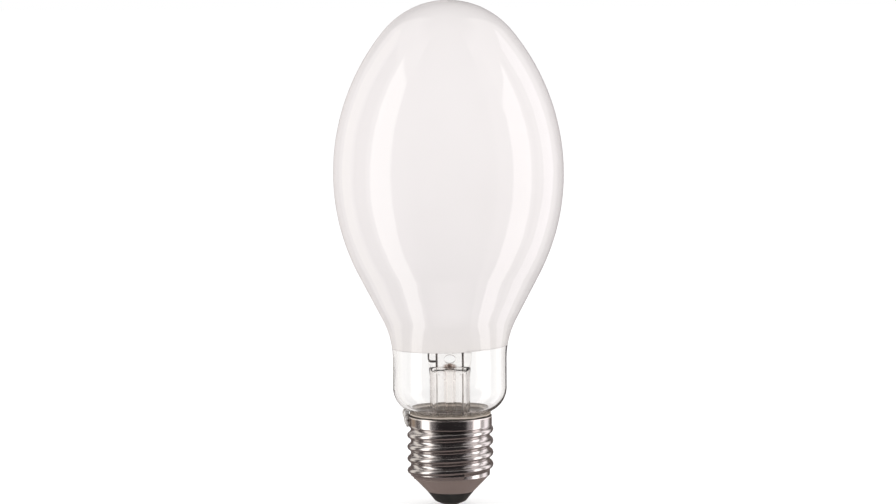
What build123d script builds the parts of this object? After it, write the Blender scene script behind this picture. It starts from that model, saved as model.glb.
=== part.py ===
from build123d import *
import os
from math import atan2, cos, degrees, radians, sin, sqrt, tan

os.makedirs("parts", exist_ok=True)

# High pressure sodium lamp of the 70 W size: a coated ovoid bulb on an E27 screw cap.
# Millimetres, +Z up along the lamp's axis from the cap to the crown. The origin is at
# the bottom centre of the centre contact. The flat of the press faces front and back (Y),
# and the side contact is on the left (-X).

# Overall sizes of the bulb
lamp_length = 154.6
bulb_dia = 70.0
light_centre = 0.66 * lamp_length
crown_radius = 0.36 * bulb_dia
neck_dia = 34.7
neck_length = 8.6
curve_share = 0.934
side_share = 0.714
shoulder_angle = 60.0
shoulder_share = 1.27
neck_end_dia = 22.4
neck_end_round = 0.8
neck_end_rise = 0.1
glass_wall = 0.9

# White powder inside the bulb
coating_thickness = 0.1
coating_edge_height = 49.3
coating_edge_tilt = 1.7

# Screw cap: the shell is rolled from sheet with the E27 knuckle thread
cap_height = 28.1
cap_sheet = 0.3
rim_round = 0.12
skirt_dia = 25.5
skirt_length = 2.8
thread_dia = 26.3
thread_pitch = 3.629
thread_round = 1.025
thread_land = 0.02
first_crest_height = 11.05
first_crest_angle = 170.0
full_turns = 3.65
lower_fade = 200.0
lower_fade_depth = 2.5
upper_fade = 150.0
upper_fade_depth = 0.55
nose_dia = 14.4
nose_height = 4.75
nose_angle = 44.0

# Black glass insulator and the centre contact under the cap
tip_dia = 9.5
tip_height = 1.75
tip_round = 0.9
insulator_wall = 3.0
insulator_bore_dia = 3.1
insulator_dish_dia = 6.2
contact_dia = 5.6
contact_thickness = 0.8
contact_height = 0.85
contact_round = 0.35
eyelet_height = 5.0
eyelet_wall = 0.45
centre_solder_dia = 4.4
centre_solder_flat_dia = 2.4

# Solder that holds the side lead on the rim
side_solder_thickness = 1.8
side_solder_width = 4.2
side_solder_height = 6.2
side_solder_drop = 0.7
side_solder_lean = 12.0

# Cement between the cap and the neck
cement_height = 2.3
cement_rise = 1.6

# Stem: flared glass tube, pinched flat at its top into the press
seal_depth = 7.1
flange_thickness = 1.2
flare_mouth_step = 0.55
flare_rise = 10.0
stem_dia = 12.3
stem_wall = 1.15
stem_length = 18.2
pinch_length = 4.4
pinch_share = 0.65
press_foot_width = 12.2
press_top_width = 13.5
press_thickness = 2.9
press_height = 3.7
cavity_share = 0.8
cavity_end_half = 0.3
cavity_end_drop = 0.7
blow_hole_width = 3.5
blow_hole_height = 2.7
blow_hole_drop = 1.9
exhaust_dia = 3.7
exhaust_wall = 0.7
exhaust_mouth_dia = 4.4
exhaust_mouth_length = 1.2
exhaust_drop = 1.5
exhaust_tip_height = 16.0
exhaust_passage_dia = 1.8

# Leads and frame
lead_spacing = 8.0
inner_lead_dia = 0.7
side_lead_dia = 0.3
side_lead_clearance = 1.4
side_lead_rim_gap = 0.16
side_lead_turn = 1.3
side_lead_end = 2.0
centre_lead_dia = 0.5
centre_lead_turn = 2.0
centre_lead_run = 8.0
centre_lead_bend = 3.0
weld_length = 9.0
weld_lift = 3.5
frame_dia = 1.2
frame_reach = 12.0
frame_rise = 9.0
frame_bend = 4.0
frame_head_room = 7.0
frame_hook_reach = 2.0

# Arc tube
arc_body_length = 0.32 * lamp_length
arc_body_dia = 6.0
arc_body_wall = 0.7
plug_length = 4.0
electrode_reach = 2.5
niobium_dia = 3.0
niobium_wall = 0.3
niobium_length = 15.0
niobium_end = 0.5
shank_dia = 0.7
shank_tail = 1.5
coil_wire_dia = 0.32
coil_turns = 5
coil_setback = 0.7
amalgam_dia = 1.6
strap_thickness = 0.35
strap_height = 3.0
strap_setback = 1.5

# Getter ring on its wire
getter_dia = 6.4
getter_width = 1.0
getter_channel_height = 0.9
getter_sheet = 0.2
getter_wire_dia = 0.7
getter_wire_height = 1.1
getter_wire_lift = 12.2

# Clearance left between pieces that are sealed, welded or cemented together
fit_gap = 0.02


def on_circle(centre, radius, angle):
    """Point of a circle in the section plane, at an angle in degrees."""
    return (centre[0] + radius * cos(radians(angle)), centre[1] + radius * sin(radians(angle)))


def arc_about(centre, radius, start, end):
    """Arc about a centre in the section plane, from one angle to another."""
    return ThreePointArc(*[on_circle(centre, radius, a) for a in (start, (start + end) / 2, end)])


def closed_section(pieces):
    """Face in the section plane, with straight lines where neighbouring curves leave a gap."""
    outline = Curve()
    for piece, following in zip(pieces, pieces[1:] + pieces[:1]):
        outline += piece
        if (piece @ 1 - following @ 0).length > 1e-6:
            outline += Line(piece @ 1, following @ 0)
    return make_face(outline)


def turned(section):
    """Solid of revolution about the lamp's axis of a section drawn with x as radius, y as height."""
    return revolve(Plane.XZ * section, Axis.Z)


def box_section(inner_radius, outer_radius, low, high):
    """Plain rectangular section between two radii and two heights."""
    return make_face(Polyline((inner_radius, low), (outer_radius, low), (outer_radius, high),
                              (inner_radius, high), close=True))


def round_wire(points, radius, diameter):
    """Wire bent in the plane of the press: straight runs joined by arcs of one radius."""
    path = Plane.XZ * FilletPolyline(*points, radius=radius)
    return sweep(Plane(path @ 0, z_dir=path % 0) * Circle(diameter / 2), path=path)


# Bulb

bulb_r = bulb_dia / 2
neck_r = neck_dia / 2
neck_end_r = neck_end_dia / 2
seal_height = cap_height - seal_depth


def bulb_section(inset, bottom):
    """Section of the bulb's form down to a flat bottom, drawn in square to its surface by an inset."""
    crown_height = lamp_length - crown_radius
    rise = crown_height - light_centre
    side_radius = (bulb_r**2 + rise**2 - crown_radius**2) / (2 * (bulb_r - crown_radius))
    crown_angle = degrees(atan2(rise, side_radius - bulb_r))
    side = (bulb_r - side_radius, light_centre)
    # The neck tucks in by a shoulder and a straight run to its narrow end inside the cap
    tuck = radians(shoulder_angle)
    shoulder_radius = shoulder_share * (neck_r - neck_end_r)
    drawn_in = neck_r - neck_end_r - (shoulder_radius + neck_end_round) * (1 - cos(tuck))
    end_height = cap_height + neck_end_rise
    shoulder_height = end_height + (shoulder_radius + neck_end_round) * sin(tuck) + drawn_in / tan(tuck)
    shoulder = (neck_r - shoulder_radius, shoulder_height)
    neck_end = (neck_end_r + neck_end_round, end_height)
    # Two arcs with a straight cone between them lead from the widest place to the neck
    sweep_height = shoulder_height + neck_length
    width, drop = bulb_r - neck_r, light_centre - sweep_height
    radii = curve_share * (width**2 + drop**2) / (2 * width)
    lower_radius, sweep_radius = side_share * radii, (1 - side_share) * radii
    cone_run = sqrt(width**2 + drop**2 - 2 * width * radii)
    cone_angle = degrees(atan2(drop, radii - width) - atan2(cone_run, radii))
    lower = (bulb_r - lower_radius, light_centre)
    neck_sweep = (neck_r + sweep_radius, sweep_height)
    return closed_section([
        arc_about((0, crown_height), crown_radius - inset, 90, crown_angle),
        arc_about(side, side_radius - inset, crown_angle, 0),
        arc_about(lower, lower_radius - inset, 0, -cone_angle),
        arc_about(neck_sweep, sweep_radius + inset, 180 - cone_angle, 180),
        arc_about(shoulder, shoulder_radius - inset, 0, -shoulder_angle),
        arc_about(neck_end, neck_end_round + inset, 180 - shoulder_angle, 180),
        Line((neck_end_r - inset, bottom), (0, bottom)),
    ])


def outer_bulb():
    """Clear hard glass, blown as one piece, with its neck drawn in to enter the cap."""
    return turned(bulb_section(0, seal_height) - bulb_section(glass_wall, seal_height - 1))


def bulb_coating():
    """Thin white powder layer on the inside of the bulb, ending at a slightly tilted edge."""
    face = glass_wall + fit_gap
    layer = turned(bulb_section(face, cap_height) - bulb_section(face + coating_thickness, cap_height - 1))
    tilt = radians(coating_edge_tilt)
    edge = Plane((0, 0, coating_edge_height), x_dir=(cos(tilt), 0, sin(tilt)), z_dir=(-sin(tilt), 0, cos(tilt)))
    return split(layer, bisect_by=edge, keep=Keep.TOP)


# Stem, with everything that is sealed through its press

stem_r = stem_dia / 2
stem_top = seal_height + stem_length
press_foot = stem_top + pinch_length
press_top = press_foot + press_height
cavity_top = press_foot - cavity_end_drop
exhaust_top = press_foot - exhaust_drop
lead_x = lead_spacing / 2
lead_foot = cavity_top
getter_wire_z = press_foot + getter_wire_height
getter_wire_x = press_top_width / 2 - getter_wire_dia / 2


def stem_tube_section():
    """Half section of the flared tube with its flange, where the neck of the bulb is sealed on."""
    mouth_r = neck_end_r - glass_wall - flare_mouth_step
    flare_top = seal_height + flare_rise
    spread = mouth_r - stem_r
    flare_radius = (spread**2 + flare_rise**2) / (2 * spread)
    flare_angle = degrees(atan2(flare_rise, flare_radius - spread))
    centre = (stem_r + flare_radius, flare_top)
    inner_radius = flare_radius + stem_wall
    flange_bottom = seal_height - flange_thickness
    inner_angle = degrees(atan2(flare_rise + flange_thickness,
                                sqrt(inner_radius**2 - (flare_rise + flange_thickness)**2)))
    return closed_section([
        Line((stem_r, stem_top), (stem_r, flare_top)),
        arc_about(centre, flare_radius, 180, 180 + flare_angle),
        Line((neck_end_r, seal_height), (neck_end_r, flange_bottom)),
        arc_about(centre, inner_radius, 180 + inner_angle, 180),
        Line((stem_r - stem_wall, flare_top), (stem_r - stem_wall, stem_top)),
    ])


def press_block():
    """Flat block of the press, a little wider at its top, with round edges."""
    sections = []
    for width, height in ((press_foot_width, stem_top), (press_top_width, press_top)):
        sections.append(Pos(0, 0, height) * RectangleRounded(width, press_thickness, 0.49 * press_thickness))
    return loft(sections)


def duck_bill(radius, shoulder_round, crook, top):
    """Round form whose top is squeezed from front and back: round shoulders, and above them a crook."""
    foot = stem_top - pinch_length
    ridge_half = radius - shoulder_round - crook
    front = extrude(Plane.YZ * closed_section([
        Line((0, foot), (radius, foot)),
        arc_about((radius - shoulder_round, top - shoulder_round), shoulder_round, 0, 90),
        arc_about((ridge_half + crook, top + crook), crook, -90, -180),
        Line((ridge_half, top + crook), (0, top + crook)),
    ]), amount=radius, both=True)
    tube = turned(box_section(0, radius, foot, top + crook))
    return (front & tube) + (mirror(front, Plane.XZ) & tube)


def getter_wire_path_points():
    """Out of the press beside the left lead, round its edge and up to the getter."""
    return [
        (-lead_x - inner_lead_dia / 2 - fit_gap, getter_wire_z),
        (-getter_wire_x, getter_wire_z),
        (-getter_wire_x, getter_wire_z + getter_wire_lift),
    ]


def getter_wire(extra=0.0):
    """Thin wire that carries the getter ring."""
    return round_wire(getter_wire_path_points(), 1.0, getter_wire_dia + 2 * extra)


def exhaust_section(extra, bottom):
    """Form of the exhaust tube, closed by a round tip, with its top opened to a small bell."""
    r = exhaust_dia / 2 + extra
    mouth_r = exhaust_mouth_dia / 2 + extra
    top = exhaust_top + extra
    return closed_section([
        Line((0, top), (mouth_r, top)),
        Line((r, top - exhaust_mouth_length), (r, bottom + r)),
        arc_about((0, bottom + r), r, 0, -90),
    ])


def stem():
    """Flare, tube and press as one glass piece, with the blow hole through the press."""
    glass = turned(stem_tube_section())
    pinch_round = pinch_share * (stem_r - press_thickness / 2)
    pinch_crook = stem_r - press_thickness / 2 - pinch_round
    glass += duck_bill(stem_r, pinch_round, pinch_crook, press_foot - pinch_crook)
    glass += press_block()
    bore_r = stem_r - stem_wall
    cavity_round = cavity_share * (bore_r - cavity_end_half)
    cavity_crook = bore_r - cavity_end_half - cavity_round
    glass -= duck_bill(bore_r, cavity_round, cavity_crook, cavity_top - cavity_crook)
    glass -= turned(exhaust_section(fit_gap, exhaust_tip_height))
    hole_z = press_top - blow_hole_drop
    blow_hole = Plane.XZ * Pos(0, hole_z) * Ellipse(blow_hole_width / 2, blow_hole_height / 2)
    glass -= extrude(blow_hole, amount=stem_r, both=True)
    glass -= turned(box_section(0, exhaust_passage_dia / 2, exhaust_top, hole_z))
    for x in (-lead_x, lead_x):
        glass -= Pos(x, 0, 0) * turned(box_section(0, inner_lead_dia / 2 + fit_gap, stem_top, press_top + 1))
    return glass - getter_wire(fit_gap)


def exhaust_tube():
    """Narrow glass tube through which the bulb was pumped, then melted shut at its lower end."""
    form = exhaust_section(0, exhaust_tip_height) - exhaust_section(-exhaust_wall, exhaust_tip_height + exhaust_wall)
    bore = box_section(0, exhaust_mouth_dia / 2 - exhaust_wall, exhaust_top - exhaust_wall, exhaust_top)
    return turned(form - bore)


# Arc tube and the frame that carries it

arc_half = arc_body_length / 2
electrode_tip = arc_half - plug_length - electrode_reach
niobium_tip = arc_half - plug_length + niobium_length
strap_level = niobium_tip - strap_setback - strap_height
niobium_r = niobium_dia / 2


def arc_tube():
    """Straight tube of translucent alumina."""
    r = arc_body_dia / 2
    return turned(box_section(r - arc_body_wall, r, light_centre - arc_half, light_centre + arc_half))


def at_end(upper, piece):
    """Place a piece drawn from the middle upwards at the upper end, or turned over at the lower one."""
    return Pos(0, 0, light_centre) * (piece if upper else Rot(180, 0, 0) * piece)


def end_plug(upper):
    """Alumina plug sintered into the end of the arc tube, flush with it."""
    r = arc_body_dia / 2 - arc_body_wall - fit_gap
    return at_end(upper, turned(box_section(niobium_r + fit_gap, r, arc_half - plug_length, arc_half)))


def niobium_tube(upper):
    """Feed-through tube: the shank is fixed in its inner end, and its outer end is pinched shut."""
    low, high = arc_half - plug_length, niobium_tip
    section = closed_section([
        Line((shank_dia / 2 + fit_gap, low), (niobium_r, low)),
        Line((niobium_r, high - niobium_r / 2), (niobium_r / 2, high)),
        Line((0, high), (0, high - niobium_end)),
        Line((niobium_r / 2, high - niobium_end), (niobium_r - niobium_wall, high - niobium_r / 2)),
        Line((niobium_r - niobium_wall, low + niobium_end), (shank_dia / 2 + fit_gap, low + niobium_end)),
    ])
    return at_end(upper, turned(section))


def electrode_shank(upper):
    """Tungsten rod that carries the arc's foot."""
    high = arc_half - plug_length + niobium_end + shank_tail
    return at_end(upper, turned(box_section(0, shank_dia / 2, electrode_tip, high)))


def electrode_coil(upper):
    """Tungsten wire wound tight on the shank, turn against turn."""
    inner = shank_dia / 2 + fit_gap
    outer = inner + coil_wire_dia / 2
    low = electrode_tip + coil_setback
    turns = [arc_about((outer, low + (n + 0.5) * coil_wire_dia), coil_wire_dia / 2, -90, 90)
             for n in range(coil_turns)]
    high = low + coil_turns * coil_wire_dia
    return at_end(upper, turned(closed_section(turns + [Line((inner, high), (inner, low))])))


def amalgam():
    """Bead of sodium and mercury at the cold end of the lower feed-through."""
    centre = light_centre - niobium_tip + niobium_end + fit_gap + amalgam_dia / 2
    return Pos(0, 0, centre) * Sphere(amalgam_dia / 2)


def strap(wire_x, wire_dia, bottom):
    """Nickel strip folded round a niobium tube and a wire, and welded to both."""
    loops = [(0, niobium_r), (wire_x, wire_dia / 2)]
    plan = Pos(wire_x / 2, 0) * Rectangle(abs(wire_x), 2 * strap_thickness)
    for x, r in loops:
        plan += Pos(x, 0) * Circle(r + fit_gap + strap_thickness)
    for x, r in loops:
        plan -= Pos(x, 0) * Circle(r + fit_gap)
    return Pos(0, 0, bottom) * extrude(plan, amount=strap_height)


def inner_lead(x, top):
    """Stiff wire sealed through the press."""
    return Pos(x, 0, 0) * turned(box_section(0, inner_lead_dia / 2, lead_foot, top))


lower_strap_bottom = light_centre - strap_level - strap_height
upper_strap_bottom = light_centre + strap_level
weld_bottom = press_top + weld_lift
weld_top = weld_bottom + weld_length


def inner_lead_left():
    """Lead on the side of the frame."""
    return inner_lead(-lead_x, weld_top)


def inner_lead_right():
    """Lead that runs straight up to the lower strap."""
    return inner_lead(lead_x, lower_strap_bottom + strap_height + strap_setback)


def frame_rod():
    """Side rod welded along the left lead, cranked out past the arc tube and bent over its top."""
    foot_x = -lead_x - inner_lead_dia / 2 - fit_gap - frame_dia / 2
    head = light_centre + niobium_tip + frame_head_room
    return round_wire([
        (foot_x, weld_bottom), (foot_x, weld_top), (-frame_reach, weld_top + frame_rise),
        (-frame_reach, head - frame_bend), (-frame_reach / 2, head), (frame_hook_reach, head),
    ], frame_bend, frame_dia)


def getter_ring():
    """Steel channel bent to a ring, which held the getter metal that was flashed inside the bulb."""
    bottom = getter_wire_z + getter_wire_lift + fit_gap
    r = getter_dia / 2
    channel = box_section(r - getter_width, r, bottom, bottom + getter_channel_height)
    channel -= box_section(r - getter_width + getter_sheet, r - getter_sheet, bottom + getter_sheet,
                           bottom + getter_channel_height)
    return Pos(-getter_wire_x - r + getter_width / 2, 0, 0) * turned(channel)


# Screw cap

thread_r = thread_dia / 2
thread_depth = 2 * thread_round - sqrt(4 * thread_round**2 - (thread_pitch / 2)**2)
core_r = thread_r - thread_depth + thread_land
skirt_r = skirt_dia / 2
nose_r = nose_dia / 2


def cone_radius(height, inset):
    """Radius of the cap's cone at a height, drawn in square to its surface by an inset."""
    lean = radians(nose_angle)
    return nose_r + (height - nose_height) * tan(lean) - inset / cos(lean)


def cap_core(inset):
    """The cap's form without its thread: cone, core, and a skirt that swells out of the core."""
    lean = radians(nose_angle)
    corner = nose_height + (core_r - inset - nose_r + inset / cos(lean)) / tan(lean)
    skirt_foot = cap_height - skirt_length
    swell = 2 * thread_round - (skirt_r - core_r)
    swell_height = sqrt(4 * thread_round**2 - swell**2)
    turn = degrees(atan2(swell_height, swell))
    lip = rim_round if inset else -rim_round
    rim = (skirt_r - inset + lip, cap_height - rim_round)
    rim_arc = (180, 90) if inset else (0, 90)
    return turned(closed_section([
        Line((0, nose_height), (cone_radius(nose_height, inset), nose_height)),
        Line((core_r - inset, corner), (core_r - inset, skirt_foot - swell_height)),
        arc_about((core_r + thread_round, skirt_foot - swell_height), thread_round + inset, 180, 180 - turn),
        arc_about((skirt_r - thread_round, skirt_foot), thread_round - inset, -turn, 0),
        arc_about(rim, rim_round, *rim_arc),
        Line((rim[0], cap_height), (0, cap_height)),
    ]))


def thread_section(inset):
    """One ridge of the knuckle thread: a round crest between the halves of two round roots."""
    root = (core_r - thread_land + thread_round, thread_pitch / 2)
    root_radius = thread_round + inset
    reach = root[0] - (core_r - inset)
    foot = degrees(atan2(sqrt(root_radius**2 - reach**2), reach))
    low = root[1] - root_radius * sin(radians(foot))
    bed = core_r - inset - thread_depth / 3
    swing = degrees(atan2(thread_pitch / 2, 2 * thread_round - thread_depth))
    return closed_section([
        Line((bed, low), (bed, -low)),
        arc_about((root[0], -root[1]), root_radius, 180 - foot, 180 - swing),
        arc_about((thread_r - thread_round, 0), thread_round - inset, -swing, swing),
        arc_about(root, root_radius, 180 + swing, 180 + foot),
    ])


def ridge(section, angle, height, turn, sink_start, sink_end):
    """The ridge wound up from an angle and a height, sunk towards the core at either end."""
    climb = turn / 360 * thread_pitch
    taper = degrees(atan2(sink_start - sink_end, climb))
    middle_r = thread_r - thread_depth / 2 - sink_start
    path = Helix(thread_pitch, climb, middle_r, center=(0, 0, height), cone_angle=taper)
    return Rot(0, 0, angle) * sweep(Pos(-sink_start, 0, height) * (Plane.XZ * section), path=path, is_frenet=True)


def cap_form(inset):
    """Cap with its thread, which fades into the cone below and the skirt above."""
    section = thread_section(inset)
    full = full_turns * 360
    start_drop = lower_fade / 360 * thread_pitch
    top_height = first_crest_height + full_turns * thread_pitch
    form = cap_core(inset)
    form += ridge(section, first_crest_angle - lower_fade, first_crest_height - start_drop, lower_fade,
                  lower_fade_depth, 0)
    form += ridge(section, first_crest_angle, first_crest_height, full, 0, 0)
    form += ridge(section, first_crest_angle + full, top_height, upper_fade, 0, upper_fade_depth)
    return form


def cap_shell():
    """Nickel-plated sheet of one thickness all over: the thread stands out inside as it does outside."""
    sides, rings = [], []
    for form in (cap_form(0), cap_form(cap_sheet)):
        ends = form.faces().filter_by(Plane.XY)
        sides += [face for face in form.faces() if face not in ends]
        rings.append(ends.sort_by(Axis.Z))
    caps = [Face(outer.outer_wire(), [inner.outer_wire()]) for outer, inner in zip(*rings)]
    return Solid(Shell(sides + caps))


def cap_insulator():
    """Black glass cast into the cap's nose, with a hole for the contact's eyelet."""
    top = nose_height + insulator_wall + fit_gap
    tip_r = tip_dia / 2
    recess_r = contact_dia / 2 + fit_gap
    recess_top = contact_height + contact_thickness + fit_gap
    tilt = degrees(atan2(nose_r - tip_r, nose_height - tip_height))
    glass = turned(closed_section([
        Line((0, recess_top), (recess_r, recess_top)),
        Line((recess_r, tip_height - tip_round), (tip_r - tip_round, tip_height - tip_round / 2)),
        Line((tip_r, tip_height), on_circle((nose_r, nose_height), fit_gap, 180 + tilt)),
        Line((cone_radius(nose_height, cap_sheet + fit_gap), nose_height),
             (cone_radius(top, cap_sheet + fit_gap), top)),
        Line((insulator_dish_dia / 2, eyelet_height), (0, eyelet_height)),
    ]))
    return glass - turned(box_section(0, insulator_bore_dia / 2, 0, top))


def centre_contact():
    """Brass contact plate with a drawn eyelet that holds it in the insulator."""
    r = contact_dia / 2
    top = contact_height + contact_thickness
    eyelet_r = insulator_bore_dia / 2 - fit_gap
    bore = eyelet_r - eyelet_wall
    return turned(closed_section([
        Line((bore, contact_height), (r - contact_round, contact_height)),
        arc_about((r - contact_round, contact_height + contact_round), contact_round, -90, 0),
        Line((r, top), (eyelet_r, top)),
        Line((eyelet_r, eyelet_height), (bore, eyelet_height)),
    ]))


centre_lead_end = contact_height / 2


def centre_solder():
    """Dome of solder over the eyelet, worn flat where it bears on the lampholder's contact."""
    dome = turned(closed_section([
        Line((0, 0), (centre_solder_flat_dia / 2, 0)),
        RadiusArc((centre_solder_flat_dia / 2, 0), (centre_solder_dia / 2, contact_height), -centre_solder_dia / 2),
        Line((centre_solder_dia / 2, contact_height), (0, contact_height)),
    ]))
    return dome - turned(box_section(0, centre_lead_dia / 2 + fit_gap, centre_lead_end - fit_gap, contact_height))


# Leads from the press to the contacts

wire_r = side_lead_dia / 2
side_lead_x = (neck_end_r + thread_r - thread_depth - cap_sheet) / 2


def outer_lead_side(extra=0.0):
    """Thin wire from the left lead, under the stem's flange, up beside the neck and over the rim."""
    under = seal_height - flange_thickness - side_lead_clearance
    over = cap_height + wire_r + side_lead_rim_gap
    outside = skirt_r + wire_r + 4 * fit_gap
    return round_wire([
        (-lead_x, lead_foot - fit_gap), (-lead_x, under), (-side_lead_x, under),
        (-side_lead_x, cap_height - side_lead_turn), (-skirt_r + 2 * wire_r, over), (-outside, over),
        (-outside, cap_height - side_lead_end),
    ], 1.5 * wire_r, side_lead_dia + 2 * extra)


def outer_lead_centre():
    """Wire from the right lead down through the eyelet to the centre contact."""
    return round_wire([
        (lead_x, lead_foot - fit_gap), (lead_x, seal_height - centre_lead_turn),
        (0, seal_height - centre_lead_turn - centre_lead_run), (0, centre_lead_end),
    ], centre_lead_bend, centre_lead_dia)


def solder_drop(extra):
    """Form of the drop on the rim, outside the cap, which leans out at its top."""
    sizes = (2 * side_solder_thickness, side_solder_width, side_solder_height)
    drop = scale(Sphere(0.5), by=tuple(size + 2 * extra for size in sizes))
    drop = Pos(-skirt_r, 0, cap_height - side_solder_drop) * Rot(0, -side_solder_lean, 0) * drop
    return drop - turned(box_section(0, skirt_r + fit_gap - extra, 0, cap_height + fit_gap - extra))


def side_solder():
    """Drop of solder that fixes the side lead on the outside of the skirt."""
    drop = solder_drop(0) - turned(bulb_section(-2 * fit_gap, seal_height))
    return drop - outer_lead_side(fit_gap)


def basing_cement():
    """Fired cement that holds the cap on the neck, and fills the wedge between the rim and the bulb."""
    foot = cap_height - cement_height
    ring = turned(box_section(0, skirt_r - cap_sheet - fit_gap, foot, cap_height + cement_rise))
    ring -= turned(bulb_section(-fit_gap, seal_height))
    return ring - solder_drop(fit_gap) - outer_lead_side(fit_gap)


nodes = {
    "outer_bulb": outer_bulb(),
    "bulb_coating": bulb_coating(),
    "stem": stem(),
    "exhaust_tube": exhaust_tube(),
    "inner_lead_left": inner_lead_left(),
    "inner_lead_right": inner_lead_right(),
    "outer_lead_side": outer_lead_side(),
    "outer_lead_centre": outer_lead_centre(),
    "frame_rod": frame_rod(),
    "arc_tube": arc_tube(),
    "amalgam_bead": amalgam(),
    "lower_strap": strap(lead_x, inner_lead_dia, lower_strap_bottom),
    "upper_strap": strap(-frame_reach, frame_dia, upper_strap_bottom),
    "getter_ring": getter_ring(),
    "getter_wire": getter_wire(),
    "cap_shell": cap_shell(),
    "cap_insulator": cap_insulator(),
    "centre_contact": centre_contact(),
    "centre_solder": centre_solder(),
    "side_solder": side_solder(),
    "basing_cement": basing_cement(),
}
for name, upper in (("upper", True), ("lower", False)):
    nodes[name + "_end_plug"] = end_plug(upper)
    nodes[name + "_niobium_tube"] = niobium_tube(upper)
    nodes[name + "_electrode_shank"] = electrode_shank(upper)
    nodes[name + "_electrode_coil"] = electrode_coil(upper)

for name, shape in nodes.items():
    export_step(shape, f"parts/{name}.step")
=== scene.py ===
from math import atan2, cos, degrees, pi, radians, sin, sqrt, tan

import bmesh
import bpy
from mathutils import Matrix, Vector


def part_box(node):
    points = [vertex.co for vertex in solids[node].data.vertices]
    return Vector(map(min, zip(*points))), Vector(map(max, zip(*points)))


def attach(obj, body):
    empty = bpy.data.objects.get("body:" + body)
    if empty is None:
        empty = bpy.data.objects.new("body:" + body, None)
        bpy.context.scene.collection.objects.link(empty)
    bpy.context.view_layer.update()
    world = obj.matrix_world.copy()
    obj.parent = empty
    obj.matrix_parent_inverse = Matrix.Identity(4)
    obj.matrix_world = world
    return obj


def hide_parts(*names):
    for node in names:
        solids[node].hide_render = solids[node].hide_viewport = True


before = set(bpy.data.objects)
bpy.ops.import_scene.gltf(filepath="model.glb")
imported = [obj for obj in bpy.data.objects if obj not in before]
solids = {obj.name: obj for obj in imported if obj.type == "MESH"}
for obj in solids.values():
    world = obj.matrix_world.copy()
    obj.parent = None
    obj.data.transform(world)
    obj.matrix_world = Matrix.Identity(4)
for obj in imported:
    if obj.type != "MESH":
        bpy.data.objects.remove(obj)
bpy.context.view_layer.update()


# Outer bulb: clear hard glass, blown as one piece, ovoid with a straight neck that tucks into
# the cap. Blowing leaves its wall very slightly uneven, which bends the reflections.

bulb_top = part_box("outer_bulb")[1][2]
bulb_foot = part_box("outer_bulb")[0][2]
bulb_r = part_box("outer_bulb")[1][0]
light_centre = 0.66 * bulb_top
crown_r = 0.72 * bulb_r
neck_r = 0.01735
neck_length = 0.0086
neck_end_r = 0.0112
neck_end_round = 0.0008
neck_end_height = 0.0282
curve_share = 0.934
side_share = 0.714
shoulder_share = 1.27
shoulder_angle = 60.0
bulb_wall = 0.0009
bulb_sides = 224


def run_to(shape, point, x, z):
    """Draw a straight line on from the last point of a profile."""
    end = bmesh.ops.extrude_vert_indiv(shape, verts=[point])["verts"][0]
    end.co = (x, 0, z)
    return end


def swing(shape, point, x, z, turn, steps):
    """Draw an arc on from the last point of a profile, swung about a centre by some degrees."""
    return bmesh.ops.spin(shape, geom=[point], cent=(x, 0, z), axis=(0, 1, 0), angle=radians(turn),
                          steps=steps)["geom_last"][0]


def blown_profile(shape, inset):
    """Half outline of the bulb from crown to foot, drawn in square to its surface by an inset."""
    crown_height = bulb_top - crown_r
    rise = crown_height - light_centre
    side_r = (bulb_r**2 + rise**2 - crown_r**2) / (2 * (bulb_r - crown_r))
    crown_angle = degrees(atan2(rise, side_r - bulb_r))
    tuck = radians(shoulder_angle)
    shoulder_r = shoulder_share * (neck_r - neck_end_r)
    drawn_in = neck_r - neck_end_r - (shoulder_r + neck_end_round) * (1 - cos(tuck))
    shoulder_rise = (shoulder_r + neck_end_round) * sin(tuck) + drawn_in / tan(tuck)
    shoulder_height = neck_end_height + shoulder_rise
    sweep_height = shoulder_height + neck_length
    width, drop = bulb_r - neck_r, light_centre - sweep_height
    radii = curve_share * (width**2 + drop**2) / (2 * width)
    lower_r, sweep_r = side_share * radii, (1 - side_share) * radii
    cone_run = sqrt(width**2 + drop**2 - 2 * width * radii)
    cone = atan2(drop, radii - width) - atan2(cone_run, radii)
    point = bmesh.ops.create_vert(shape, co=(0, 0, bulb_top - inset))["vert"][0]
    point = swing(shape, point, 0, crown_height, 90 - crown_angle, 44)
    point = swing(shape, point, bulb_r - side_r, light_centre, crown_angle, 32)
    point = swing(shape, point, bulb_r - lower_r, light_centre, degrees(cone), 28)
    point = run_to(shape, point, neck_r + sweep_r - (sweep_r + inset) * cos(cone),
                   sweep_height + (sweep_r + inset) * sin(cone))
    point = swing(shape, point, neck_r + sweep_r, sweep_height, -degrees(cone), 16)
    point = run_to(shape, point, neck_r - inset, shoulder_height)
    point = swing(shape, point, neck_r - shoulder_r, shoulder_height, shoulder_angle, 16)
    point = run_to(shape, point, neck_end_r + neck_end_round - (neck_end_round + inset) * cos(tuck),
                   neck_end_height + (neck_end_round + inset) * sin(tuck))
    point = swing(shape, point, neck_end_r + neck_end_round, neck_end_height, -shoulder_angle, 5)
    run_to(shape, point, neck_end_r - inset, bulb_foot)


def turn_round(shape, steps):
    """Turn a profile into a form about the lamp's axis, with a closed pole and faces outwards."""
    bmesh.ops.spin(shape, geom=shape.verts[:] + shape.edges[:], cent=(0, 0, 0), axis=(0, 0, 1),
                   angle=2 * pi, steps=steps, use_merge=True)
    bmesh.ops.remove_doubles(shape, verts=shape.verts, dist=1e-6)
    bmesh.ops.recalc_face_normals(shape, faces=shape.faces)
    for face in shape.faces:
        face.smooth = True


def new_piece(name, shape, slot, *nodes):
    """Make a bmesh a piece of the lamp that stands for nodes of the frame."""
    mesh = bpy.data.meshes.new(name)
    shape.to_mesh(mesh)
    shape.free()
    piece = bpy.data.objects.new(name, mesh)
    bpy.context.scene.collection.objects.link(piece)
    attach(piece, "root")
    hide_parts(*nodes)
    return piece


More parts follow.
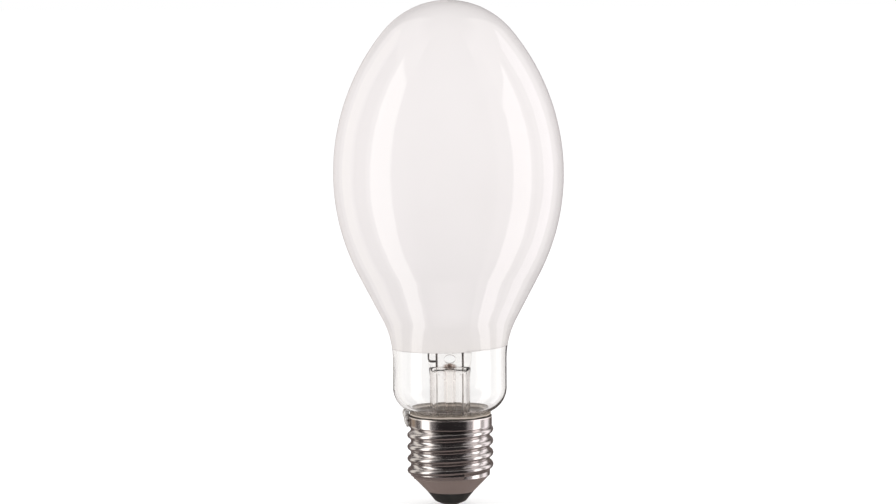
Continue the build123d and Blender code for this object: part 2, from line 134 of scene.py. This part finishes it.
def give_wall(piece, thickness):
    """Give an open form a wall, measured inwards from its surface."""
    wall = piece.modifiers.new("wall", "SOLIDIFY")
    wall.thickness = thickness
    wall.offset = -1.0
    wall.use_even_offset = True


shape = bmesh.new()
blown_profile(shape, 0)
turn_round(shape, bulb_sides)
blown_bulb = new_piece("blown_bulb", shape, "bulb_glass", "outer_bulb")
give_wall(blown_bulb, bulb_wall)


def place_node(tree, kind, inputs=None, **settings):
    """A shader node with its own settings, and with values or outputs on its input sockets."""
    node = tree.nodes.new("ShaderNode" + kind)
    for name, value in settings.items():
        setattr(node, name, value)
    for socket, value in (inputs or {}).items():
        if isinstance(value, bpy.types.NodeSocket):
            tree.links.new(value, node.inputs[socket])
        else:
            node.inputs[socket].default_value = value
    return node


def reckon(tree, operation, *values, **settings):
    """The result of a calculation with values or outputs."""
    return place_node(tree, "Math", dict(enumerate(values)), operation=operation, **settings).outputs[0]


def ramp(tree, value, start, end, first=0.0, last=1.0):
    """A value that goes evenly from the first to the last as a measure goes from start to end."""
    return place_node(tree, "MapRange", {
        "Value": value, "From Min": start, "From Max": end, "To Min": first, "To Max": last}).outputs[0]


def blend(tree, share, first, second):
    """A colour between two colours, by the share of the second."""
    return place_node(tree, "Mix", {"Factor": share, "A": first, "B": second}, data_type="RGBA").outputs[2]


def relief(tree, height, strength, depth):
    """Shallow relief on a surface, from a height between 0 and 1."""
    return place_node(tree, "Bump", {
        "Height": height, "Strength": strength, "Distance": depth}).outputs["Normal"]


def new_finish(name, **constants):
    """A material, its tree, its shader with the values that are the same all over, and its place."""
    material = bpy.data.materials.new(name)
    material.use_nodes = True
    tree = material.node_tree
    shader = tree.nodes["Principled BSDF"]
    for socket, value in constants.items():
        shader.inputs[socket.replace("_", " ")].default_value = value
    place = tree.nodes.new("ShaderNodeTexCoord").outputs["Object"]
    return material, tree, shader, place


def feed(tree, shader, **looks):
    """Link what changes over the surface to the shader's sockets."""
    for socket, output in looks.items():
        tree.links.new(output, shader.inputs[socket.replace("_", " ")])


def new_group(name, inputs, outputs):
    """A shader node group with named inputs and outputs, and its two end nodes."""
    group = bpy.data.node_groups.new(name, "ShaderNodeTree")
    for end, sockets in (("INPUT", inputs), ("OUTPUT", outputs)):
        for socket, value in sockets.items():
            kind = "NodeSocketFloat" if isinstance(value, float) else "NodeSocketVector"
            group.interface.new_socket(socket, in_out=end, socket_type=kind).default_value = value
    return group, group.nodes.new("NodeGroupInput").outputs, group.nodes.new("NodeGroupOutput").inputs


def place_group(tree, group, **inputs):
    """The outputs of one use of a shared effect, with its own values."""
    node = tree.nodes.new("ShaderNodeGroup")
    node.node_tree = group
    for socket, value in inputs.items():
        if isinstance(value, bpy.types.NodeSocket):
            tree.links.new(value, node.inputs[socket])
        else:
            node.inputs[socket].default_value = value
    return node.outputs


# Unevenness: a cloudy value between two limits, for colour, roughness and shallow waves
unevenness, given, out = new_group(
    "unevenness", {"Place": (0, 0, 0), "Scale": 100.0, "Low": 0.0, "High": 1.0}, {"Value": 0.0})
noise = place_node(unevenness, "TexNoise", {
    "Vector": given["Place"], "Scale": given["Scale"], "Detail": 3.0}).outputs["Fac"]
spread = ramp(unevenness, noise, 0.3, 0.7, given["Low"], given["High"])
unevenness.links.new(spread, out["Value"])


def clouds(tree, place, patch, low=0.0, high=1.0):
    """A cloudy value between two limits, in patches of about that many metres."""
    return place_group(tree, unevenness, Place=place, Scale=1 / patch, Low=low, High=high)["Value"]


def glass(name, face_on, edge_on, ior, roughness, wave, wave_size):
    """Glass, with painted shade where it is seen along its surface. Light from lamps goes straight through
    it.
    """
    material, tree, shader, place = new_finish(name, IOR=ior, Transmission_Weight=1.0)
    # Painted shade: the tint darkens from face_on to edge_on where the glass is seen along its surface
    facing = place_node(tree, "LayerWeight", {"Blend": 0.5}).outputs["Facing"]
    tint = blend(tree, ramp(tree, facing, 0.4, 1.0), face_on, edge_on)
    waves = clouds(tree, place, 2.5 * wave_size)
    feed(tree, shader, Base_Color=tint, Roughness=clouds(tree, place, wave_size, high=roughness),
         Normal=relief(tree, waves, wave, wave_size))
    path = tree.nodes.new("ShaderNodeLightPath").outputs
    passing = reckon(tree, "MAXIMUM", path["Is Shadow Ray"], path["Is Diffuse Ray"])
    open_way = place_node(tree, "BsdfTransparent").outputs[0]
    mix = place_node(tree, "MixShader", {0: passing, 1: shader.outputs[0], 2: open_way})
    tree.links.new(mix.outputs[0], tree.nodes["Material Output"].inputs["Surface"])
    return material


blown_bulb.data.materials.append(glass(
    "blown_glass", face_on=(1.0, 0.995, 0.99, 1), edge_on=(0.95, 0.94, 0.935, 1), ior=1.48,
    roughness=0.01, wave=0.01, wave_size=0.012))


# Coating: fine white powder, baked on to the inside of the bulb down to the neck. It is fully
# matt, a little thinner in patches, and grips the glass, so that no air shows between them.

coating_edge = 0.0493
coating_tilt = radians(1.7)
edge_shade_fade = 0.012
coating_thickness = 0.00015
coating_grip = 0.00005
powder_white = (0.89, 0.853, 0.853, 1)
powder_thin = (0.87, 0.832, 0.83, 1)
powder_edge_shade = (0.80, 0.762, 0.745, 1)

shape = bmesh.new()
blown_profile(shape, bulb_wall - coating_grip)
turn_round(shape, bulb_sides)
bmesh.ops.bisect_plane(shape, geom=shape.verts[:] + shape.edges[:] + shape.faces[:], dist=1e-7,
                       plane_co=(0, 0, coating_edge), plane_no=(-sin(coating_tilt), 0, cos(coating_tilt)),
                       clear_inner=True)
coating = new_piece("powder_coating", shape, "diffusing_powder", "bulb_coating")
give_wall(coating, coating_thickness)

powder, tree, shader, place = new_finish("white_powder", Roughness=1.0, Specular_IOR_Level=0.0)
full = blend(tree, clouds(tree, place, 0.03), powder_white, powder_thin)
height = place_node(tree, "SeparateXYZ", {0: place}).outputs["Z"]
# Painted shade: the powder darkens towards its lower edge
edge_shading = ramp(tree, height, coating_edge, coating_edge + edge_shade_fade, 1.0, 0.0)
feed(tree, shader, Base_Color=blend(tree, edge_shading, full, powder_edge_shade),
     Normal=relief(tree, clouds(tree, place, 0.0002), 0.1, 0.00005))
coating.data.materials.append(powder)


# Stem and exhaust tube: softer glass than the bulb, drawn as tubing. The stem is flared at the
# foot and pinched flat round the leads at the top, which leaves it wavy, and the glass round the
# channel below the hole through the press is tinted dark brown.

channel = (0, 0, 0.0431)
channel_size = (0.0021, 0.004, 0.0009)
channel_brown = (0.34, 0.27, 0.24, 1)


def dress(material, *names):
    """Give a finish to pieces that keep their solid's own mesh."""
    for name in names:
        solids[name].data.materials.clear()
        solids[name].data.materials.append(material)


stem_glass = glass(
    "stem_glass", face_on=(0.99, 0.98, 0.972, 1), edge_on=(0.72, 0.69, 0.67, 1), ior=1.2,
    roughness=0.03, wave=0.05, wave_size=0.006)
tree = stem_glass.node_tree
shader = tree.nodes["Principled BSDF"]
place = tree.nodes["Texture Coordinate"].outputs["Object"]
offset = place_node(tree, "VectorMath", {0: place, 1: channel}, operation="SUBTRACT").outputs[0]
shares = place_node(tree, "VectorMath", {0: offset, 1: channel_size}, operation="DIVIDE").outputs[0]
away = place_node(tree, "VectorMath", {0: shares}, operation="LENGTH").outputs["Value"]
tint = shader.inputs["Base Color"].links[0].from_socket
# The glass is tinted dark brown in an ellipse round the channel
feed(tree, shader, Base_Color=blend(tree, ramp(tree, away, 0.8, 1.2, 1.0, 0.0), tint, channel_brown))
dress(stem_glass, "stem", "exhaust_tube")


# Leads and frame: round molybdenum wire, dark with oxide where the flame sealed it into the
# glass, with bright nickel wire below it and nickel strips welded across above it.


def metal(name, bare, stained, rough, patch):
    """Bare metal with cloudy stains and drawing marks."""
    material, tree, shader, place = new_finish(name, Metallic=1.0)
    marks = clouds(tree, place, patch / 4, *rough)
    feed(tree, shader, Base_Color=blend(tree, clouds(tree, place, patch), bare, stained),
         Roughness=marks, Normal=relief(tree, marks, 0.1, patch / 20))
    return material


dress(metal("oxidised_wire", (0.18, 0.155, 0.14, 1), (0.07, 0.06, 0.055, 1), (0.35, 0.6), 0.002),
      "inner_lead_left", "inner_lead_right", "getter_wire")
dress(metal("nickel_wire", (0.9, 0.87, 0.84, 1), (0.8, 0.77, 0.74, 1), (0.5, 0.65), 0.002),
      "outer_lead_side", "outer_lead_centre")
dress(metal("frame_steel", (0.45, 0.43, 0.41, 1), (0.36, 0.33, 0.3, 1), (0.25, 0.45), 0.004),
      "frame_rod", "getter_ring")
dress(metal("nickel_strip", (0.62, 0.59, 0.55, 1), (0.5, 0.46, 0.42, 1), (0.25, 0.4), 0.003),
      "lower_strap", "upper_strap")


# Arc tube: translucent alumina with a niobium feed-through and a tungsten electrode at each
# end, and a bead of sodium amalgam at the cold end. The coating hides it.

alumina_light = (0.85, 0.84, 0.82, 1)
alumina_dark = (0.78, 0.77, 0.75, 1)

alumina, tree, shader, place = new_finish(
    "alumina", Subsurface_Weight=0.6, Subsurface_Scale=0.002, Specular_IOR_Level=0.4)
feed(tree, shader, Base_Color=blend(tree, clouds(tree, place, 0.003), alumina_light, alumina_dark),
     Roughness=clouds(tree, place, 0.001, 0.3, 0.5))
dress(alumina, "arc_tube", "upper_end_plug", "lower_end_plug")
dress(metal("niobium", (0.42, 0.41, 0.42, 1), (0.34, 0.33, 0.36, 1), (0.3, 0.5), 0.002),
      "upper_niobium_tube", "lower_niobium_tube")
dress(metal("tungsten", (0.3, 0.29, 0.28, 1), (0.2, 0.19, 0.19, 1), (0.4, 0.6), 0.001),
      "upper_electrode_shank", "lower_electrode_shank", "upper_electrode_coil", "lower_electrode_coil")
dress(metal("amalgam", (0.7, 0.69, 0.68, 1), (0.6, 0.59, 0.58, 1), (0.1, 0.25), 0.001),
      "amalgam_bead")


# Screw cap: brass sheet, drawn and rolled with the knuckle thread, then nickel plated. The thread
# and skirt are bright, with a rougher worn bead at the rim that is painted lighter as a highlight
# line, and brown painted shade on the skirt beside the solder. The cone is satin from the hot
# glass that was cast into it.

cone_top = 0.0102
cone_blend = 0.001
skirt_foot = 0.0248
skirt_blend = 0.0008
rim_bead = 0.0278
bead_half = 0.00014
skirt_shade_centre = (-0.0118, -0.0048, 0.0266)
skirt_shade_core = 0.002
skirt_shade_reach = 0.0045
rolling_stretch = (0.06, 0.06, 1.0)
plate_bright = (0.60, 0.57, 0.56, 1)
plate_dull = (0.52, 0.49, 0.48, 1)
skirt_shade_brown = (0.22, 0.165, 0.13, 1)
cone_satin = (0.80, 0.73, 0.70, 1)
bead_wear_and_highlight = (0.8, 0.75, 0.72, 1)

nickel, tree, shader, place = new_finish("nickel_plate", Metallic=1.0)
height = place_node(tree, "SeparateXYZ", {0: place}).outputs["Z"]
satin = ramp(tree, height, cone_top - cone_blend, cone_top, 1.0, 0.0)
bright = blend(tree, clouds(tree, place, 0.006), plate_bright, plate_dull)
# Painted shade: the skirt turns brown near the side solder drop
away = place_node(tree, "VectorMath", {0: place, 1: skirt_shade_centre}, operation="DISTANCE").outputs["Value"]
near = ramp(tree, away, skirt_shade_core, skirt_shade_reach, 1.0, 0.0)
on_skirt = ramp(tree, height, skirt_foot, skirt_foot + skirt_blend)
stained = blend(tree, reckon(tree, "MULTIPLY", near, on_skirt), bright, skirt_shade_brown)
plated = blend(tree, satin, stained, cone_satin)
# Painted highlight and wear: the bead at the rim is lighter in colour and rougher
on_bead = reckon(tree, "COMPARE", height, rim_bead, bead_half)
stretched = place_node(tree, "Mapping", {
    "Vector": place, "Scale": rolling_stretch}, vector_type="POINT").outputs[0]
rolled = clouds(tree, stretched, 0.0004, 0.15, 0.21)
frosted = reckon(tree, "MAXIMUM", on_bead, satin)
rough = place_node(tree, "Mix", {"Factor": frosted, "A": rolled, "B": 0.42}, data_type="FLOAT").outputs[0]
feed(tree, shader, Base_Color=blend(tree, on_bead, plated, bead_wear_and_highlight), Roughness=rough,
     Normal=relief(tree, rolled, 0.04, 0.0001))
dress(nickel, "cap_shell")


# Insulator and centre contact: black glass cast into the cap's nose, and a brass plate with a
# drawn eyelet, plated like the cap.

glass_black = (0.014, 0.015, 0.014, 1)
glass_grey = (0.022, 0.024, 0.022, 1)

black_glass, tree, shader, place = new_finish("black_glass", Specular_IOR_Level=0.5)
flow = clouds(tree, place, 0.002)
feed(tree, shader, Base_Color=blend(tree, flow, glass_black, glass_grey),
     Roughness=clouds(tree, place, 0.0008, 0.28, 0.42), Normal=relief(tree, flow, 0.1, 0.0002))
dress(black_glass, "cap_insulator")
dress(metal("contact_plate", (0.78, 0.75, 0.72, 1), (0.7, 0.64, 0.56, 1), (0.2, 0.35), 0.002),
      "centre_contact")


# Solder: a dome over the eyelet and a drop on the rim, where the side lead comes over it.
# It sets dull and frosty, with dark specks of flux.

# Centre and radii of the lumps that ran together in the drop, in millimetres
solder_lumps = (
    ((-13.55, 0.0, 28.6), (1.05, 2.0, 1.4)),
    ((-13.85, -0.3, 29.25), (0.7, 1.4, 0.95)),
    ((-13.2, 0.2, 26.8), (0.95, 1.7, 1.7)),
    ((-13.0, -0.3, 25.6), (0.65, 1.1, 1.15)),
)
solder_grain = 0.00015
speck_size = 0.0005
solder_light = (0.86, 0.84, 0.82, 1)
solder_dark = (0.68, 0.66, 0.64, 1)
flux_specks = (0.16, 0.12, 0.09, 1)

shape = bmesh.new()
for centre, radii in solder_lumps:
    lump = Matrix.Translation(Vector(centre) / 1000) @ Matrix.Diagonal((*[r / 1000 for r in radii], 1))
    bmesh.ops.create_icosphere(shape, subdivisions=3, radius=1.0, matrix=lump)
solder_drop = new_piece("side_solder_drop", shape, "solder", "side_solder")
run_together = solder_drop.modifiers.new("run_together", "REMESH")
run_together.mode = "VOXEL"
run_together.voxel_size = solder_grain
run_together.use_smooth_shade = True
settled = solder_drop.modifiers.new("settled", "SMOOTH")
settled.iterations = 6

solder, tree, shader, place = new_finish("solder", Metallic=0.5)
frost = clouds(tree, place, 0.0007)
specks = place_node(tree, "TexNoise", {
    "Vector": place, "Scale": 1 / speck_size, "Detail": 2.0}).outputs["Fac"]
grey = blend(tree, frost, solder_light, solder_dark)
feed(tree, shader, Base_Color=blend(tree, ramp(tree, specks, 0.54, 0.64), grey, flux_specks),
     Roughness=clouds(tree, place, 0.0006, 0.4, 0.6), Normal=relief(tree, frost, 0.4, 0.0002))
solder_drop.data.materials.append(solder)
dress(solder, "centre_solder")


# Basing cement: phenolic and marble flour, spread in the cap's rim and fired, so it is brown,
# rough and streaked. Along the rim it has a dark line of painted shade with a pale line of painted
# highlight above it.

# Height of the painted highlight line, and of the painted shade line just below it
rim_highlight_line = 0.0287
rim_highlight_half = 0.00018
rim_shade_top = rim_highlight_line - 0.00015
rim_shade_blend = 0.00015
outer_face_r = 0.0122
streak_size = 0.0006
cement_brown = (0.28, 0.235, 0.195, 1)
cement_dark = (0.17, 0.138, 0.112, 1)
marble_flour = (0.42, 0.385, 0.35, 1)
rim_highlight_pale = (0.62, 0.54, 0.47, 1)
rim_shade_dark = (0.045, 0.038, 0.034, 1)

cement, tree, shader, place = new_finish("basing_cement", Roughness=0.9, Specular_IOR_Level=0.2)
streaks = place_node(tree, "TexNoise", {
    "Vector": place, "Scale": 1 / streak_size, "Detail": 4.0, "Distortion": 1.5}).outputs["Fac"]
brown = blend(tree, clouds(tree, place, 0.002), cement_brown, cement_dark)
fired = blend(tree, ramp(tree, streaks, 0.55, 0.68), brown, marble_flour)
height = place_node(tree, "SeparateXYZ", {0: place}).outputs["Z"]
level = reckon(tree, "ADD", height, clouds(tree, place, 0.003, -0.0001, 0.0001))
# Painted highlight: a pale line along the cement just above the rim
pale = blend(tree, reckon(tree, "COMPARE", level, rim_highlight_line, rim_highlight_half), fired, rim_highlight_pale)
flat = place_node(tree, "VectorMath", {0: place, 1: (1, 1, 0)}, operation="MULTIPLY").outputs[0]
radius = place_node(tree, "VectorMath", {0: flat}, operation="LENGTH").outputs["Value"]
on_outside = reckon(tree, "GREATER_THAN", radius, outer_face_r)
# Painted shade: a dark line on the outer face just below the painted highlight
low = ramp(tree, level, rim_shade_top - rim_shade_blend, rim_shade_top, 1.0, 0.0)
feed(tree, shader, Base_Color=blend(tree, reckon(tree, "MULTIPLY", low, on_outside), pale, rim_shade_dark),
     Normal=relief(tree, streaks, 0.8, 0.0004))
dress(cement, "basing_cement")


# Studio: a pale floor under the lamp, a white backdrop, a pale room whose four tall soft boxes
# and dark front show in the glass and the nickel, and a dark tray that shows only in the cap.

floor_glow = 0.33
tray_r = 0.05
tray_level = -0.0005
tray_back = radians(35)
tray_height = 0.03
tray_pale = (0.22, 0.18, 0.17, 1)
tray_dark = (0.19, 0.16, 0.15, 1)


def stand_in_studio(name, shape):
    """Make a bmesh a piece of the studio."""
    mesh = bpy.data.meshes.new(name)
    shape.to_mesh(mesh)
    shape.free()
    piece = bpy.data.objects.new(name, mesh)
    bpy.context.scene.collection.objects.link(piece)
    return piece


shape = bmesh.new()
bmesh.ops.create_grid(shape, x_segments=1, y_segments=1, size=6.0)
floor = stand_in_studio("floor", shape)
floor.visible_glossy = floor.visible_transmission = False

floor_finish, tree, shader, place = new_finish("floor", Roughness=1.0, Specular_IOR_Level=0.0)
grain = clouds(tree, place, 0.4, 0.90, 0.93)
pale = place_node(tree, "CombineColor", {0: grain, 1: grain, 2: grain}).outputs[0]
feed(tree, shader, Base_Color=pale)
path = tree.nodes.new("ShaderNodeLightPath").outputs
seen = reckon(tree, "ADD", path["Is Camera Ray"], path["Is Transmission Ray"])
glow = place_node(tree, "Emission", {"Strength": reckon(tree, "MULTIPLY", seen, floor_glow)})
both = place_node(tree, "AddShader", {0: shader.outputs[0], 1: glow.outputs[0]})
tree.links.new(both.outputs[0], tree.nodes["Material Output"].inputs["Surface"])
floor.data.materials.append(floor_finish)

shape = bmesh.new()
centre = bmesh.ops.create_vert(shape, co=(0, 0, tray_level))["vert"][0]
run_to(shape, centre, tray_r, tray_level)
bmesh.ops.spin(shape, geom=shape.verts[:] + shape.edges[:], cent=(0, 0, 0), axis=(0, 0, 1),
               angle=2 * pi, steps=48, use_merge=True)
bmesh.ops.remove_doubles(shape, verts=shape.verts, dist=1e-6)
foot = bmesh.ops.create_vert(shape, co=(tray_r * cos(tray_back), tray_r * sin(tray_back), 0))["vert"][0]
wall = bmesh.ops.extrude_vert_indiv(shape, verts=[foot])
wall["verts"][0].co.z = tray_height
bmesh.ops.spin(shape, geom=[foot, *wall["verts"], *wall["edges"]], cent=(0, 0, 0), axis=(0, 0, 1),
               angle=pi - 2 * tray_back, steps=24)
tray = stand_in_studio("dark_tray", shape)
tray.visible_camera = tray.visible_diffuse = tray.visible_transmission = tray.visible_shadow = False
tray_finish, tree, shader, place = new_finish("dark_tray", Roughness=1.0, Specular_IOR_Level=0.0)
feed(tree, shader, Base_Color=blend(tree, clouds(tree, place, 0.02), tray_pale, tray_dark))
tray.data.materials.append(tray_finish)

# A soft box in the room: 1 inside its span of azimuth and height, as seen from the lamp, in
# degrees. Its top may rise by a slant towards the back.
soft_box, given, out = new_group(
    "soft_box", {"Azimuth": 0.0, "Elevation": 0.0, "From": 0.0, "To": 0.0, "Top": 90.0,
                 "Bottom": -90.0, "Edge": 2.0, "Slant": 0.0}, {"Mask": 0.0})
aside = reckon(soft_box, "ABSOLUTE", given["Azimuth"])
top = reckon(soft_box, "MULTIPLY_ADD", aside, given["Slant"], given["Top"])
mask = 1.0
for value, limit in ((given["Azimuth"], given["From"]), (given["To"], given["Azimuth"]),
                     (top, given["Elevation"]), (given["Elevation"], given["Bottom"])):
    inside = reckon(soft_box, "SUBTRACT", value, limit)
    share = reckon(soft_box, "DIVIDE", inside, given["Edge"], use_clamp=True)
    mask = reckon(soft_box, "MULTIPLY", share, mask)
soft_box.links.new(mask, out["Mask"])

world = bpy.data.worlds.new("studio")
bpy.context.scene.world = world
world.use_nodes = True
world.cycles.sampling_method = "NONE"
tree = world.node_tree
sky = tree.nodes.new("ShaderNodeTexCoord").outputs["Generated"]
direction = place_node(tree, "SeparateXYZ", {0: sky}).outputs
ahead = reckon(tree, "MULTIPLY", direction["Y"], -1.0)
azimuth = reckon(tree, "DEGREES", reckon(tree, "ARCTAN2", direction["X"], ahead))
elevation = reckon(tree, "DEGREES", reckon(tree, "ARCSINE", direction["Z"]))

# Span of azimuth, top, bottom, edge, slant, and colour of what shows in the room
room_pale = (0.8, 0.77, 0.755, 1)
room = (
    ("front", -56, 54, 75, -62, 5, 0, (0.03, 0.027, 0.028)),
    ("left_fade", -74, -34, 60, -60, 18, 0, (0.3, 0.28, 0.28)),
    ("right_fade", 44, 72, 60, -60, 10, 0, (0.45, 0.42, 0.43)),
    ("left_gap", -112, -88, 45, -90, 4, 0, (0.18, 0.16, 0.155)),
    ("right_gap", 93, 104, 42, -90, 4, 0, (0.45, 0.42, 0.42)),
    ("backs", 138, 260, 99, -99, 8, 0, (0.1, 0.085, 0.08)),
    ("backs_again", -260, -140, 99, -99, 8, 0, (0.1, 0.085, 0.08)),
    ("left_back", -192, -132, 26, -32, 16, 0, (0.64, 0.6, 0.58)),
    ("right_back", 132, 192, 26, -32, 16, 0, (0.3, 0.27, 0.275)),
    ("left_behind", -190, -166, 28, -36, 8, 0, (0.42, 0.38, 0.38)),
    ("above", -190, 190, 99, 60, 12, 0, (0.2, 0.19, 0.185)),
    ("under", -190, 190, -66, -99, 12, 0, (0.22, 0.18, 0.175)),
    ("left_box", -86, -58, 28, -60, 3, 0.25, (2.65, 2.6, 2.5)),
    ("left_back_box", -134, -113, 43, -58, 3, 0, (1.15, 1.11, 1.03)),
    ("right_box", 66, 93, -3, -60, 3, 0.5, (2.7, 2.58, 2.58)),
    ("right_back_box", 108, 130, 42, -58, 3, 0, (1.7, 1.62, 1.66)),
)
reflected = room_pale
for name, start, end, top, bottom, edge, slant, colour in room:
    box = place_group(tree, soft_box, Azimuth=azimuth, Elevation=elevation, From=start, To=end,
                      Top=top, Bottom=bottom, Edge=edge, Slant=slant)
    box["Mask"].node.label = name
    reflected = blend(tree, box["Mask"], reflected, (*colour, 1))

# White surfaces are lit evenly from the sides, with less light from above and below
side_light = 1.24
top_light = 0.36
level = ramp(tree, elevation, 10.0, 80.0, side_light, top_light)
even = place_node(tree, "CombineColor", {0: level, 1: level, 2: level}).outputs[0]

# Light that turned back inside glass shows a pale room, with one dark edge behind on the right
wall_depth = 2.5
glass_pale = (1, 0.98, 0.965, 1)
edge_dark = (0.03, 0.025, 0.022, 1)
path = tree.nodes.new("ShaderNodeLightPath").outputs
edge_line = place_group(tree, soft_box, Azimuth=azimuth, Elevation=elevation, From=155.0, To=196.0,
                        Edge=6.0)
in_wall = blend(tree, edge_line["Mask"], glass_pale, edge_dark)
in_stem = blend(tree, 0.5, reflected, glass_pale)
in_glass = blend(tree, reckon(tree, "LESS_THAN", path["Transmission Depth"], wall_depth), in_stem, in_wall)
mirrored = blend(tree, path["Is Transmission Ray"], reflected, in_glass)
lit = blend(tree, path["Is Diffuse Ray"], mirrored, even)

# The backdrop is white to the camera, straight on and through glass
bounced = reckon(tree, "ADD", path["Diffuse Depth"], path["Glossy Depth"])
direct = reckon(tree, "LESS_THAN", bounced, 0.5)
through = reckon(tree, "MULTIPLY", path["Is Transmission Ray"], direct)
backdrop = reckon(tree, "MAXIMUM", path["Is Camera Ray"], through)
tree.links.new(blend(tree, backdrop, lit, (1, 1, 1, 1)), tree.nodes["Background"].inputs["Color"])


def look_at(stand, aim):
    """The place and turn of a lamp or camera that stands at one point and looks at another."""
    return Matrix.Translation(stand) @ (aim - stand).to_track_quat("-Z", "Y").to_matrix().to_4x4()


# Two large soft lamps at the sides give the floor its soft shadow
lamp_strength = 2.4
lamp_place = (0.9, -0.5, 0.8)
lamp_aim = Vector((0, 0, 0.07))
for name, side in (("lamp_left", -1), ("lamp_right", 1)):
    lamp = bpy.data.lights.new(name, "AREA")
    lamp.shape = "RECTANGLE"
    lamp.size, lamp.size_y = 0.8, 1.2
    lamp.energy = lamp_strength
    holder = bpy.data.objects.new(name, lamp)
    bpy.context.scene.collection.objects.link(holder)
    holder.matrix_world = look_at(Vector((side * lamp_place[0], *lamp_place[1:])), lamp_aim)
    holder.visible_camera = holder.visible_glossy = holder.visible_transmission = False

scene = bpy.context.scene
scene.view_settings.view_transform = "Standard"
scene.cycles.max_bounces = 32
scene.cycles.transmission_bounces = 32
scene.cycles.transparent_max_bounces = 64
scene.cycles.glossy_bounces = 12

camera_lens = 135.0
camera_distance = 1.022
camera_lift = radians(5.6)
camera_aim = Vector((-0.0003, 0, 0.0781))
camera_roll = radians(-0.40)

camera = bpy.data.objects.new("camera", bpy.data.cameras.new("camera"))
scene.collection.objects.link(camera)
camera.data.lens = camera_lens
camera.data.sensor_width = 36.0
stand = camera_aim + camera_distance * Vector((0, -cos(camera_lift), sin(camera_lift)))
camera.matrix_world = look_at(stand, camera_aim) @ Matrix.Rotation(camera_roll, 4, "Z")
scene.camera = camera
